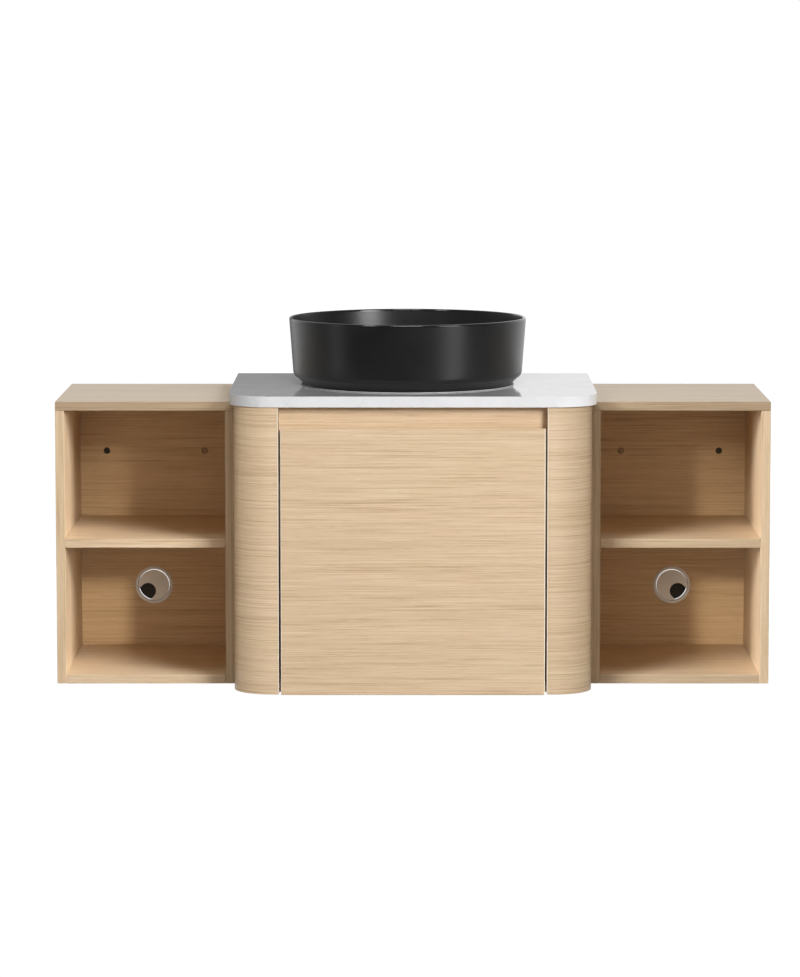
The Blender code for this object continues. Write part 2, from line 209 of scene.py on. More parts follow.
def bump(tree, shader, height, strength, distance):
    inputs = {"Height": height, "Strength": strength, "Distance": distance}
    node = add(tree, "Bump", inputs)
    tree.links.new(node.outputs["Normal"], shader.inputs["Normal"])


def object_place(tree):
    return add(tree, "TexCoord").outputs["Object"]


def oak_laminate():
    """Light oak print on board, with short fine streaks and slow changes between pink and yellow.

    The attribute "grain" holds metres (along, across, through) the grain. A second attribute is 1 on the
    rounded edge beside a gap, which is painted pale as a highlight.
    """
    material, tree, shader = new_finish("oak_laminate", IOR=1.5)
    grain = add(tree, "Attribute", attribute_name="grain").outputs["Vector"]
    sway = noise(tree, grain, (2.6, 9.0, 9.0), 2.0)
    shift = add(tree, "CombineXYZ", {"Y": math_node(tree, "MULTIPLY", sway, 0.006)}).outputs[0]
    place = vector_math(tree, "ADD", grain, shift)
    bands = noise(tree, place, (1.2, 55.0, 55.0), 3.0, 0.6)
    streaks = noise(tree, place, (5.0, 620.0, 620.0), 1.0, 0.5)
    dashes = noise(tree, place, (12.0, 400.0, 400.0), 2.0, 0.6)
    fibres = noise(tree, place, (50.0, 1900.0, 1900.0), 2.0, 0.6)
    tone = weighted_sum(tree, (bands, 0.18), (streaks, 0.42), (dashes, 0.24), (fibres, 0.16))
    colour = ramp(
        tree, tone,
        (0.34, (0.500, 0.355, 0.215)), (0.46, (0.690, 0.520, 0.338)),
        (0.54, (0.750, 0.582, 0.398)), (0.66, (0.825, 0.665, 0.480)),
    )
    warm = ramp(tree, noise(tree, place, (6.0, 240.0, 240.0), 2.0, 0.7), (0.38, 0.0), (0.62, 1.0))
    slow_warm = ramp(tree, noise(tree, place, (2.0, 18.0, 18.0), 2.0), (0.36, 0.0), (0.64, 1.0))
    hue = weighted_sum(tree, (warm, 0.6), (slow_warm, 0.4))
    tint = ramp(tree, hue, (0.1, (1.0, 1.005, 0.975)), (0.9, (1.008, 0.986, 0.995)))
    colour = mix(tree, 1.0, colour, tint, "MULTIPLY")
    pores = noise(tree, place, (38.0, 1300.0, 1300.0), 1.0)
    pore_mask = ramp(tree, pores, (0.29, 1.0), (0.38, 0.0))
    colour = mix(tree, math_node(tree, "MULTIPLY", pore_mask, 0.25), colour, (0.38, 0.25, 0.14))
    # Painted highlight: the rounded edges beside the gaps are mixed towards pale cream, for the light they
    # catch.
    painted_edge_highlight = add(tree, "Attribute", attribute_name="painted_edge_highlight").outputs["Fac"]
    colour = mix(tree, math_node(tree, "MULTIPLY", painted_edge_highlight, 0.9), colour, (1.0, 0.93, 0.80))
    tree.links.new(colour, shader.inputs["Base Color"])
    tree.links.new(spread(tree, streaks, 0.50, 0.32), shader.inputs["Roughness"])
    relief = math_node(tree, "SUBTRACT", fibres, math_node(tree, "MULTIPLY", pore_mask, 0.8))
    bump(tree, shader, relief, 0.25, 0.00010)
    return material


def raw_chipboard():
    """The cut rear edges of the boards, left without an edge band."""
    material, tree, shader = new_finish("raw_chipboard", Roughness=0.9)
    place = object_place(tree)
    scaled = vector_math(tree, "MULTIPLY", place, (420.0, 420.0, 620.0))
    flakes = add(tree, "TexVoronoi", {"Vector": scaled, "Scale": 1.0}, feature="F1")
    dust = noise(tree, place, (900.0, 900.0, 900.0), 3.0)
    tone = weighted_sum(tree, (flakes.outputs["Distance"], 0.6), (dust, 0.5))
    colour = ramp(tree, tone, (0.2, (0.30, 0.19, 0.10)), (0.8, (0.62, 0.46, 0.28)))
    tree.links.new(colour, shader.inputs["Base Color"])
    bump(tree, shader, tone, 0.6, 0.0004)
    return material


def linen_board():
    """Drawer box board with a woven linen print."""
    material, tree, shader = new_finish("linen_board", Roughness=0.6)
    place = object_place(tree)
    threads = [noise(tree, place, stretch, 2.0) for stretch in
               ((60.0, 1500.0, 1500.0), (1500.0, 1500.0, 60.0), (1500.0, 60.0, 1500.0))]
    weave = math_node(tree, "ADD", math_node(tree, "ADD", threads[0], threads[1]), threads[2])
    weave = math_node(tree, "DIVIDE", weave, 3.0)
    cloud = noise(tree, place, (14.0, 14.0, 14.0), 3.0)
    tone = weighted_sum(tree, (weave, 0.8), (cloud, 0.2))
    colour = ramp(tree, tone, (0.36, (0.30, 0.29, 0.27)), (0.64, (0.52, 0.50, 0.47)))
    tree.links.new(colour, shader.inputs["Base Color"])
    bump(tree, shader, weave, 0.25, 0.0002)
    return material


def white_stone():
    """Polished white engineered stone with faint grey veins and cloudy patches."""
    material, tree, shader = new_finish("white_stone", IOR=1.52)
    place = object_place(tree)
    drift = noise(tree, place, (7.0, 7.0, 7.0), 4.0, 0.6)
    bend = add(tree, "CombineXYZ", {"X": math_node(tree, "MULTIPLY", drift, 0.35),
                                    "Y": math_node(tree, "MULTIPLY", drift, 0.22)}).outputs[0]
    bent = vector_math(tree, "ADD", place, bend)
    vein_noise = noise(tree, bent, (9.0, 13.0, 11.0), 5.0, 0.55)
    ridge = math_node(tree, "ABSOLUTE", math_node(tree, "SUBTRACT", vein_noise, 0.5))
    veins = ramp(tree, ridge, (0.0, 1.0), (0.022, 0.0))
    patches = ramp(tree, noise(tree, place, (16.0, 16.0, 16.0), 3.0), (0.45, 0.0), (0.75, 1.0))
    veins = math_node(tree, "MULTIPLY", veins, patches)
    cloud = noise(tree, place, (24.0, 24.0, 24.0), 5.0, 0.6)
    ground = ramp(tree, cloud, (0.35, (0.80, 0.80, 0.80)), (0.65, (0.86, 0.86, 0.865)))
    colour = mix(tree, math_node(tree, "MULTIPLY", veins, 0.34), ground, (0.50, 0.51, 0.54))
    tree.links.new(colour, shader.inputs["Base Color"])
    tree.links.new(spread(tree, cloud, 0.05, 0.10), shader.inputs["Roughness"])
    return material


def black_ceramic():
    """Matt black glaze with a very fine orange-peel surface, rubbed glossier along the rim."""
    material, tree, shader = new_finish("black_ceramic", IOR=1.5)
    place = object_place(tree)
    cloud = noise(tree, place, (18.0, 18.0, 18.0), 4.0, 0.55)
    peel = noise(tree, place, (620.0, 620.0, 620.0), 2.0)
    specks = noise(tree, place, (2600.0, 2600.0, 2600.0), 1.0)
    colour = ramp(tree, cloud, (0.3, (0.0105, 0.0105, 0.0108)), (0.7, (0.0135, 0.0135, 0.0138)))
    tree.links.new(colour, shader.inputs["Base Color"])
    height = add(tree, "SeparateXYZ", {0: place}).outputs["Z"]
    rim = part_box("basin")[1][2]
    rubbed_zone = {"Value": height, "From Min": rim - 0.0045, "From Max": rim - 0.0015}
    worn = add(tree, "MapRange", rubbed_zone)
    roughness = mix(tree, worn.outputs["Result"], spread(tree, cloud, 0.28, 0.34), (0.09, 0.09, 0.09))
    tree.links.new(roughness, shader.inputs["Roughness"])
    relief = math_node(tree, "ADD", peel, math_node(tree, "MULTIPLY", specks, 0.4))
    bump(tree, shader, relief, 0.10, 0.00008)
    return material


def polished_chrome():
    material, tree, shader = new_finish("polished_chrome", Metallic=1.0)
    place = object_place(tree)
    smear = noise(tree, place, (90.0, 90.0, 40.0), 4.0, 0.6)
    colour = ramp(tree, smear, (0.3, (0.72, 0.73, 0.75)), (0.7, (0.82, 0.83, 0.85)))
    tree.links.new(colour, shader.inputs["Base Color"])
    tree.links.new(spread(tree, smear, 0.04, 0.13), shader.inputs["Roughness"])
    return material


def drawn_metal(name, dark, light, stretch, low_roughness, high_roughness):
    """Metal with fine lines left by drawing or machining, along the axis with the least stretch."""
    material, tree, shader = new_finish(name, Metallic=1.0)
    place = object_place(tree)
    lines = noise(tree, place, stretch, 3.0, 0.6)
    stain = noise(tree, place, (35.0, 35.0, 35.0), 4.0)
    tone = weighted_sum(tree, (lines, 0.55), (stain, 0.45))
    tree.links.new(ramp(tree, tone, (0.3, dark), (0.7, light)), shader.inputs["Base Color"])
    tree.links.new(spread(tree, tone, low_roughness, high_roughness), shader.inputs["Roughness"])
    bump(tree, shader, lines, 0.12, 0.00005)
    return material


def moulded_plastic(name, dark, light, roughness, texture=1400.0, strength=0.25):
    """Plastic with the fine even texture of a spark-eroded mould."""
    material, tree, shader = new_finish(name)
    place = object_place(tree)
    skin = noise(tree, place, (texture, texture, texture), 2.0)
    cloud = noise(tree, place, (45.0, 45.0, 45.0), 3.0)
    tree.links.new(ramp(tree, cloud, (0.3, dark), (0.7, light)), shader.inputs["Base Color"])
    tree.links.new(spread(tree, skin, roughness - 0.06, roughness + 0.06), shader.inputs["Roughness"])
    bump(tree, shader, skin, strength, 0.00006)
    return material


def dark_foam():
    """Open-cell foam of the dust seals."""
    material, tree, shader = new_finish("dark_foam", Roughness=1.0)
    place = object_place(tree)
    scaled = vector_math(tree, "MULTIPLY", place, (1300.0, 1300.0, 1300.0))
    cells = add(tree, "TexVoronoi", {"Vector": scaled, "Scale": 1.0}).outputs["Distance"]
    colour = ramp(tree, cells, (0.1, (0.014, 0.014, 0.014)), (0.7, (0.045, 0.044, 0.043)))
    tree.links.new(colour, shader.inputs["Base Color"])
    bump(tree, shader, cells, 0.8, 0.0005)
    return material


def soft_rubber(name, dark, light, roughness):
    """Silicone or rubber, with a coarser skin than plastic."""
    return moulded_plastic(name, dark, light, roughness, 700.0, 0.4)


OAK = oak_laminate()
CHIPBOARD = raw_chipboard()
FINISHES = {
    "white_stone": white_stone(),
    "black_ceramic": black_ceramic(),
    "chrome": polished_chrome(),
    "grey_board": linen_board(),
    "silicone": soft_rubber("silicone", (0.52, 0.53, 0.53), (0.62, 0.63, 0.63), 0.4),
    "black_rubber": soft_rubber("black_rubber", (0.02, 0.02, 0.02), (0.035, 0.035, 0.034), 0.7),
    "white_plastic": moulded_plastic("white_plastic", (0.70, 0.70, 0.68), (0.78, 0.78, 0.76), 0.45),
    "taupe_plastic": moulded_plastic("taupe_plastic", (0.70, 0.69, 0.67), (0.75, 0.74, 0.72), 0.42),
    "brass": drawn_metal("brass", (0.55, 0.38, 0.16), (0.75, 0.56, 0.28), (900.0, 900.0, 60.0), 0.2, 0.38),
    "zinc_steel": drawn_metal("zinc_steel", (0.50, 0.51, 0.53), (0.70, 0.71, 0.73),
                              (900.0, 12.0, 900.0), 0.22, 0.4),
    "tan_lacquer": moulded_plastic("tan_lacquer", (0.34, 0.235, 0.145), (0.44, 0.31, 0.20), 0.5),
    "dark_steel": moulded_plastic("dark_steel", (0.020, 0.018, 0.016), (0.035, 0.031, 0.028), 0.5),
    "black_foam": dark_foam(),
}


# Mesh helpers


def box_bmesh(low, high):
    low, high = Vector(low), Vector(high)
    bm = bmesh.new()
    bmesh.ops.create_cube(bm, size=1)
    bmesh.ops.scale(bm, vec=high - low, verts=bm.verts)
    bmesh.ops.translate(bm, vec=(low + high) / 2, verts=bm.verts)
    return bm


def sharp_edges(bm):
    limit = radians(30)
    return [e for e in bm.edges if len(e.link_faces) == 2 and e.calc_face_angle() > limit]


def round_edges(bm, width, segments=3, edges=None):
    bmesh.ops.bevel(
        bm, geom=sharp_edges(bm) if edges is None else edges, offset=width, offset_type="OFFSET",
        affect="EDGES", segments=segments, profile=0.5, material=-1, clamp_overlap=True,
    )


def plate_bmesh(loops, sweep):
    """A flat plate: the first loop is its outline, the others are holes, and it is swept straight."""
    bm = bmesh.new()
    edges = []
    for loop in loops:
        points = [bm.verts.new(p) for p in loop]
        edges += [bm.edges.new(pair) for pair in zip(points, points[1:] + points[:1])]
    bmesh.ops.triangle_fill(bm, edges=edges, use_beauty=True, use_dissolve=False)
    made = bmesh.ops.extrude_face_region(bm, geom=bm.faces[:])["geom"]
    far_points = [part for part in made if isinstance(part, bmesh.types.BMVert)]
    bmesh.ops.translate(bm, vec=sweep, verts=far_points)
    bmesh.ops.recalc_face_normals(bm, faces=bm.faces)
    return bm


def slab_bmesh(loops, low, high):
    """A plate between the heights of two corners. Its loops are points (x, y)."""
    return plate_bmesh([[(x, y, low.z) for x, y in loop] for loop in loops], (0, 0, high.z - low.z))


def panel_bmesh(loops, low, high):
    """A plate that stands parallel to the wall, between two corners. Its loops are points (x, z)."""
    return plate_bmesh([[(x, low.y, z) for x, z in loop] for loop in loops], (0, high.y - low.y, 0))


def arc(centre, radius, start, end, count):
    """Points on an arc, from the start angle to the end angle, both in degrees."""
    angles = [radians(start + (end - start) * i / (count - 1)) for i in range(count)]
    return [(centre[0] + radius * cos(a), centre[1] + radius * sin(a)) for a in angles]


def circle(centre, radius, count=48):
    return arc(centre, radius, 0, 360 * (count - 1) / count, count)


def turned_about(points, angle):
    """The points (x, y) turned about the origin by an angle in radians."""
    return [(x * cos(angle) - y * sin(angle), x * sin(angle) + y * cos(angle)) for x, y in points]


def round_front_loop(low, high, radius, count):
    """An outline in plan whose two front corners are rounded."""
    left = arc((low.x + radius, low.y + radius), radius, 180, 270, count)
    right = arc((high.x - radius, low.y + radius), radius, 270, 360, count)
    return [(low.x, high.y)] + left + right + [(high.x, high.y)]


def turned_bmesh(profile, steps=96, closed=True):
    """Spins a profile of (radius, height) points about Z."""
    bm = bmesh.new()
    points = [bm.verts.new((radius, 0, height)) for radius, height in profile]
    pairs = list(zip(points, points[1:]))
    if closed:
        pairs.append((points[-1], points[0]))
    edges = [bm.edges.new(pair) for pair in pairs]
    bmesh.ops.spin(
        bm, geom=points + edges, cent=(0, 0, 0), axis=(0, 0, 1), angle=2 * pi, steps=steps,
        use_merge=True, use_duplicate=False,
    )
    bmesh.ops.remove_doubles(bm, verts=bm.verts, dist=1e-6)
    bmesh.ops.recalc_face_normals(bm, faces=bm.faces)
    return bm


def set_corner_normals(mesh, smooth):
    """Smooths across angles under the limit, in degrees.

    Normals lean to the larger face, so that rounded edges leave flat faces flat.
    """
    around = [[] for _ in mesh.vertices]
    for face in mesh.polygons:
        for vertex in face.vertices:
            around[vertex].append((face.normal.copy(), face.area))
    limit = cos(radians(smooth))
    normals = []
    for face in mesh.polygons:
        for vertex in face.vertices:
            near = [normal * area for normal, area in around[vertex] if normal.dot(face.normal) > limit]
            normals.append(sum(near, Vector()).normalized())
    mesh.normals_split_custom_set(normals)


def mesh_from(bm, name):
    mesh = bpy.data.meshes.new(name)
    bm.to_mesh(mesh)
    bm.free()
    return mesh


def finish_piece(bm, name, nodes, body=None, slot=None, materials=None, smooth=35):
    """Makes the mesh a piece that rides on its CAD nodes' body and stands for them."""
    mesh = mesh_from(bm, name)
    mesh.shade_smooth()
    set_corner_normals(mesh, smooth)
    piece = bpy.data.objects.new(name, mesh)
    group_of(nodes[0] if nodes else name).objects.link(piece)
    slot = slot or SLOT_OF[nodes[0]]
    for material in materials or [FINISHES[slot]]:
        mesh.materials.append(material)
    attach(piece, body or BODY_OF[nodes[0]])
    if nodes:
        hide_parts(*nodes)
    return piece


def corner_box(node):
    low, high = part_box(node)
    return Vector(low), Vector(high)


def box_centre(node):
    low, high = corner_box(node)
    return (low + high) / 2


# Oak boards. Each gets its own stretch of the grain through the attribute "grain".

BOARD_EDGE = 0.0006
# Width of the rounded edges beside the gaps, which also carry a pale painted highlight.
EDGE_ROUND_WIDTH = 0.0014
BODY_CORNER = 0.065
FRONT_BOARD = 0.018
RAIL_HOLE = (0.150, 0.004)
FIXING_RADIUS = 0.00575
GROMMET_HOLE = 0.030
GRAIN_SPREAD = 9
grain_seed = random.Random(42)


def board_shift():
    return Vector([grain_seed.uniform(-GRAIN_SPREAD, GRAIN_SPREAD) for _ in range(3)])


def set_grain(mesh, place_of):
    """Stores where each face corner lies in the wood, given its point and its face's normal."""
    grain = mesh.attributes.new("grain", "FLOAT_VECTOR", "CORNER")
    for face in mesh.polygons:
        for corner in face.loop_indices:
            point = mesh.vertices[mesh.loops[corner].vertex_index].co
            grain.data[corner].vector = place_of(point, face.normal)


def straight_grain(along, size):
    """Grain along one axis. A face across it has an edge band, whose grain runs its long way."""
    shift = board_shift()

    def place_of(point, normal):
        facing = max(range(3), key=lambda i: abs(normal[i]))
        axis = along
        if facing == along:
            axis = max((i for i in range(3) if i != along), key=lambda i: size[i])
        others = [i for i in range(3) if i != axis]
        return Vector((point[axis], point[others[0]], point[others[1]])) + shift

    return place_of


def mark_raw_edges(mesh):
    """The second material goes on what faces the wall."""
    for face in mesh.polygons:
        face.material_index = int(face.normal.y > 0.9)


# Marks the faces whose colour gets the pale painted highlight.
def set_painted_edge_highlight(mesh, is_highlit_edge):
    painted_edge_highlight = mesh.attributes.new("painted_edge_highlight", "FLOAT", "FACE")
    for face in mesh.polygons:
        painted_edge_highlight.data[face.index].value = float(is_highlit_edge(face))


def oak_piece(bm, node, place_of, is_highlit_edge=lambda face: False):
    piece = finish_piece(bm, f"{node}_board", [node], materials=[OAK, CHIPBOARD])
    set_grain(piece.data, place_of)
    set_painted_edge_highlight(piece.data, is_highlit_edge)
    mark_raw_edges(piece.data)
    return piece


def plain_board(node, along):
    low, high = corner_box(node)
    bm = box_bmesh(low, high)
    round_edges(bm, BOARD_EDGE)
    return oak_piece(bm, node, straight_grain(along, high - low))


def drilled_board(node, holes):
    """A board that stands parallel to the wall, with round holes (x, z, radius)."""
    low, high = corner_box(node)
    outline = [(low.x, low.z), (high.x, low.z), (high.x, high.z), (low.x, high.z)]
    bm = panel_bmesh([outline] + [circle((x, z), radius) for x, z, radius in holes], low, high)
    round_edges(bm, 0.0004, 2)
    return oak_piece(bm, node, straight_grain(0, high - low))


def curved_side(word, sign):
    """The side panel, which wraps round the front corner with its grain."""
    node = f"{word}_curved_side"
    low, high = corner_box(node)
    outer, inner = (high.x, low.x) if sign > 0 else (-low.x, -high.x)
    front, radius = low.y, BODY_CORNER
    centre = (outer - radius, front + radius)
    outside = [(outer, high.y)] + arc(centre, radius, 0, -90, 40) + [(inner, front)]
    inside = [(inner, front + FRONT_BOARD)]
    inside += arc(centre, radius - FRONT_BOARD, -90, 0, 40) + [(outer - FRONT_BOARD, high.y)]
    bm = slab_bmesh([[(sign * x, y) for x, y in outside + inside]], low, high)
    gap_edge = [
        e for e in bm.edges
        if all(abs(abs(v.co.x) - inner) < 1e-5 and v.co.y < front + 1e-5 for v in e.verts)
    ]
    round_edges(bm, EDGE_ROUND_WIDTH, edges=gap_edge)
    round_edges(bm, BOARD_EDGE, 2)
    shift = board_shift()

    def place_of(point, _normal):
        x, y = abs(point.x) - centre[0], point.y - centre[1]
        if y > 0:
            along, through = -y, radius - x
        elif x < 0:
            along, through = radius * pi / 2 - x, radius + y
        else:
            along, through = radius * atan2(-y, x), radius - hypot(x, y)
        return Vector((along, point.z, through)) + shift

    # The rounded edge beside the drawer gap gets a pale painted highlight.
    def is_highlit_edge(face):
        return abs(face.center.x) < inner + EDGE_ROUND_WIDTH and face.center.y < front + FRONT_BOARD / 2

    return oak_piece(bm, node, place_of, is_highlit_edge)


def drawer_front():
    """The front, with its rear top edge cut away as a grip."""
    low, high = corner_box("drawer_front")
    bm = box_bmesh(low, high)
    grip = [e for e in bm.edges if all(v.co.y > low.y + 0.01 and v.co.z > high.z - 0.01 for v in e.verts)]
    round_edges(bm, 0.011, 1, grip)
    round_edges(bm, EDGE_ROUND_WIDTH)

    # The rounded side edges beside the gaps get a pale painted highlight.
    def is_highlit_edge(face):
        return abs(face.center.x) > high.x - EDGE_ROUND_WIDTH

    return oak_piece(bm, "drawer_front", straight_grain(0, high - low), is_highlit_edge)


def centre_cabinet():
    for word, sign in SIDES:
        curved_side(word, sign)
        plain_board(f"{word}_inner_panel", 2)
    plain_board("front_rail", 0)
    plain_board("lower_back_rail", 0)
    hole_x, hole_radius = RAIL_HOLE
    drilled_board("hanging_rail", [(-hole_x, 0, hole_radius), (hole_x, 0, hole_radius)])
    drawer_front()


def cabinet_floor():
    """The bottom panel, whose front corners follow the curved sides."""
    low, high = corner_box("cabinet_bottom")
    bm = slab_bmesh([round_front_loop(low, high, BODY_CORNER - FRONT_BOARD, 20)], low, high)
    round_edges(bm, 0.0005, 2)
    oak_piece(bm, "cabinet_bottom", straight_grain(0, high - low))


def side_cabinet(word):
    prefix = f"{word}_cabinet"
    for part in ("top", "shelf", "floor"):
        plain_board(f"{prefix}_{part}", 0)
    for part in ("outer_side", "inner_side"):
        plain_board(f"{prefix}_{part}", 2)
    ring, screw, strip = (box_centre(f"{word}_{part}")
                          for part in ("grommet_ring", "hanger_screw", "hanger_strip"))
    outer_x = 2 * strip.x - screw.x
    drilled_board(f"{prefix}_back", [
        (ring.x, ring.z, GROMMET_HOLE), (screw.x, screw.z, FIXING_RADIUS),
        (outer_x, screw.z, FIXING_RADIUS),
    ])


# Stone top and basin

COUNTER_CORNER = 0.075
COUNTER_EDGE = 0.0013
WASTE_HOLE = 0.0225
WASTE_OUTER = 0.0215
WASTE_INNER = 0.0185
GAP = 0.0003


def basin_centre():
    low, high = corner_box("basin")
    return Vector(((low.x + high.x) / 2, (low.y + high.y) / 2, low.z - GAP))


def countertop():
    low, high = corner_box("countertop")
    outline = round_front_loop(low, high, COUNTER_CORNER, 40)
    bm = slab_bmesh([outline, circle(basin_centre().xy, WASTE_HOLE)], low, high)
    round_edges(bm, COUNTER_EDGE, 4)
    finish_piece(bm, "stone_top", ["countertop"])


def basin():
    low, high = corner_box("basin")
    centre = basin_centre()
    radius, height, lip = (high.x - low.x) / 2, high.z - centre.z, 0.0025
    profile = arc((radius - lip, height - lip), lip, 180, 0, 13)
    profile += arc((0.1825, 0.0245), 0.0125, 0, -68, 14)
    profile += [(0.1805, 0.0060), (0.1795, 0.0044), (0.1790, 0.0030), (0.1790, 0.0008), (0.1785, GAP)]
    profile += [(0.1605, GAP), (0.1600, 0.0008), (0.158, 0.006), (0.045, 0.006), (0.043, GAP)]
    profile += [(WASTE_HOLE, GAP), (WASTE_HOLE, 0.0118), (0.0232, 0.0125), (0.034, 0.0128)]
    profile += [(0.100, 0.0152), (0.155, 0.0182)]
    profile += arc((0.1675, 0.0390), 0.0200, -72, -6, 16)
    bm = turned_bmesh(profile, 160)
    bmesh.ops.translate(bm, vec=centre, verts=bm.verts)
    finish_piece(bm, "vessel_basin", ["basin"], smooth=50)


def turned_piece(name, node, profile, centre, steps=72, closed=True, to_front=False):
    bm = turned_bmesh(profile, steps, closed)
    if to_front:
        bmesh.ops.transform(bm, matrix=TURN_TO_FRONT, verts=bm.verts)
    bmesh.ops.translate(bm, vec=centre, verts=bm.verts)
    return finish_piece(bm, name, [node], smooth=40)


def ring_profile(inner, outer, low, high, soft=0.0004):
    """A washer's section with its four corners taken off."""
    return [
        (inner + soft, high), (outer - soft, high), (outer, high - soft), (outer, low + soft),
        (outer - soft, low), (inner + soft, low), (inner, low + soft), (inner, high - soft),
    ]


def thread_profile(radius, top, bottom, pitch=0.0015, depth=0.0007):
    """Ridges down the outside of a threaded pipe."""
    count = int((top - bottom) / pitch)
    points = []
    for turn in range(count):
        height = top - turn * pitch
        points += [(radius, height - 0.15 * pitch), (radius - depth, height - 0.6 * pitch)]
    return points


def waste_fittings():
    centre = basin_centre()
    flange = [
        (WASTE_INNER, 0.0146), (0.0190, 0.0156), (0.0200, 0.0163), (0.0215, 0.0165), (0.0290, 0.0163),
        (0.0315, 0.0159), (0.0323, 0.0154), (0.0325, 0.0149), (0.0322, 0.0143), (WASTE_OUTER, 0.0143),
    ]
    flange += thread_profile(WASTE_OUTER, -0.004, -0.054)
    flange += [(WASTE_OUTER - 0.0005, -0.055), (WASTE_INNER, -0.055)]
    turned_piece("waste_flange", "waste_body", flange, centre)
    top_washer = ring_profile(0.0228, 0.0310, 0.0131, 0.0140, 0.0002)
    turned_piece("top_washer", "waste_top_washer", top_washer, centre)
    washer_low, washer_high = corner_box("waste_lower_washer")
    lower_washer = ring_profile(0.0218, 0.0330, washer_low.z - centre.z, washer_high.z - centre.z)
    turned_piece("lower_washer", "waste_lower_washer", lower_washer, centre)
    tail = [
        (0.0218, -0.0405), (0.0223, -0.040), (0.0244, -0.040), (0.0250, -0.0406), (0.0250, -0.0560),
        (0.0244, -0.0570), (0.0220, -0.0577), (0.0175, -0.0590), (0.0160, -0.0605), (0.0160, -0.1995),
        (0.0157, -0.200), (0.0148, -0.200), (0.0145, -0.1996), (0.0145, -0.0553), (0.0218, -0.0553),
    ]
    turned_piece("tail_pipe", "tailpiece", tail, centre)
    foot_seal = ring_profile(0.150, 0.1572, GAP, 0.0057, 0.0010)
    turned_piece("foot_seal", "basin_seal_ring", foot_seal, centre, 96)
    bead = turned_bmesh(arc((0.1804, GAP), 0.0013, 0, 180, 7), 160)
    bmesh.ops.translate(bead, vec=centre, verts=bead.verts)
    finish_piece(bead, "foot_bead", [], body="vanity", slot="silicone", smooth=60)


def lock_nut():
    """A hexagon nut with chamfered corners and a plain round bore."""
    low, high = corner_box("waste_lock_nut")
    centre = box_centre("waste_lock_nut").xy
    wide, deep = (high - low).xy
    start = 90 if deep > wide else 0
    hexagon = arc(centre, max(wide, deep) / 2, start, start + 300, 6)
    bm = slab_bmesh([hexagon, circle(centre, WASTE_OUTER + GAP)], low, high)
    round_edges(bm, 0.0006, 2)
    finish_piece(bm, "lock_nut", ["waste_lock_nut"])


def pop_up():
    centre = basin_centre()
    cap = [(0, 0.0215)] + [(0.0030 * i, 0.0215 - 0.0000125 * i ** 2) for i in range(1, 9)]
    cap += [(0.0275, 0.0198), (0.0290, 0.0193), (0.0297, 0.0187), (0.0300, 0.0181), (0.0298, 0.0175),
            (0.0292, 0.0172), (0.0160, 0.0172), (0.0160, 0.0112), (0.0140, 0.0112), (0.0140, 0.0073),
            (0.0160, 0.0073), (0.0157, 0.0050), (0.0150, 0.0040), (0.0036, 0.0040), (0.0036, -0.0334),
            (0.0030, -0.0340), (0, -0.0340)]
    turned_piece("stopper_cap", "pop_up_stopper", cap, centre, closed=False)
    turned_piece("stopper_ring", "stopper_seal", circle((0.0161, 0.00925), 0.0017, 12)[::-1], centre)
    stopper_guide()


def stopper_guide():
    """The disc that holds the stopper's stem, with three holes for the water."""
    low, high = corner_box("pop_up_guide")
    middle = basin_centre().xy
    loops = [circle(middle, (high.x - low.x) / 2), circle(middle, 0.0042, 24)]
    loops += [circle(place, 0.005, 24) for place in arc(middle, 0.011, 0, 240, 3)]
    bm = slab_bmesh(loops, low, high)
    round_edges(bm, 0.0003, 2)
    finish_piece(bm, "stopper_guide", ["pop_up_guide"])


# Drawer box and slides


def boxed_piece(node, name, edge=BOARD_EDGE):
    low, high = corner_box(node)
    bm = box_bmesh(low, high)
    round_edges(bm, edge)
    return finish_piece(bm, name, [node])


NOTCH_HALF = 0.076
SHIELD_WALL = 0.004
SHIELD_CORNER = 0.005
SHEET_STEEL = 0.0012


def drawer_box():
    for word, _ in SIDES:
        boxed_piece(f"drawer_{word}_side", f"drawer_box_{word}_side")
        boxed_piece(f"drawer_{word}_back", f"drawer_box_{word}_back")
    low, high = corner_box("drawer_bottom")
    middle = box_centre("plumbing_shield").x
    left, right = middle - NOTCH_HALF, middle + NOTCH_HALF
    notch = corner_box("plumbing_shield")[0].y + SHIELD_WALL
    loop = [
        (low.x, low.y), (high.x, low.y), (high.x, high.y), (right, high.y),
        (right, notch), (left, notch), (left, high.y), (low.x, high.y),
    ]
    bm = slab_bmesh([loop], low, high)
    round_edges(bm, 0.0005, 2)
    finish_piece(bm, "drawer_box_bottom", ["drawer_bottom"])


def plumbing_shield():
    """A bent plastic wall round the notch, with a rolled top edge."""
    low, high = corner_box("plumbing_shield")
    wall = Vector((SHIELD_WALL, SHIELD_WALL, 0))
    inside_low, inside_high = low + wall, Vector((high.x - SHIELD_WALL, high.y, high.z))
    loop = round_front_loop(low, high, SHIELD_CORNER, 8)
    loop += round_front_loop(inside_low, inside_high, SHIELD_CORNER - SHIELD_WALL, 5)[::-1]
    bm = slab_bmesh([loop], low, high)
    round_edges(bm, 0.0008, 3)
    finish_piece(bm, "trap_shield", ["plumbing_shield"])


def channel_bmesh(low, high, open_side):
    """A steel channel along Y. Its lips point towards open_side, -1 or 1 along X."""
    web = low.x if open_side > 0 else high.x
    lip = high.x if open_side > 0 else low.x
    inner_web = web + open_side * SHEET_STEEL
    bottom, top = low.z + SHEET_STEEL, high.z - SHEET_STEEL
    loop = [
        (lip, high.z), (web, high.z), (web, low.z), (lip, low.z),
        (lip, bottom), (inner_web, bottom), (inner_web, top), (lip, top),
    ]
    bm = panel_bmesh([loop], low, high)
    round_edges(bm, 0.00035, 2)
    return bm


BALL_RADIUS = 0.0009
BALL_PITCH = 0.012


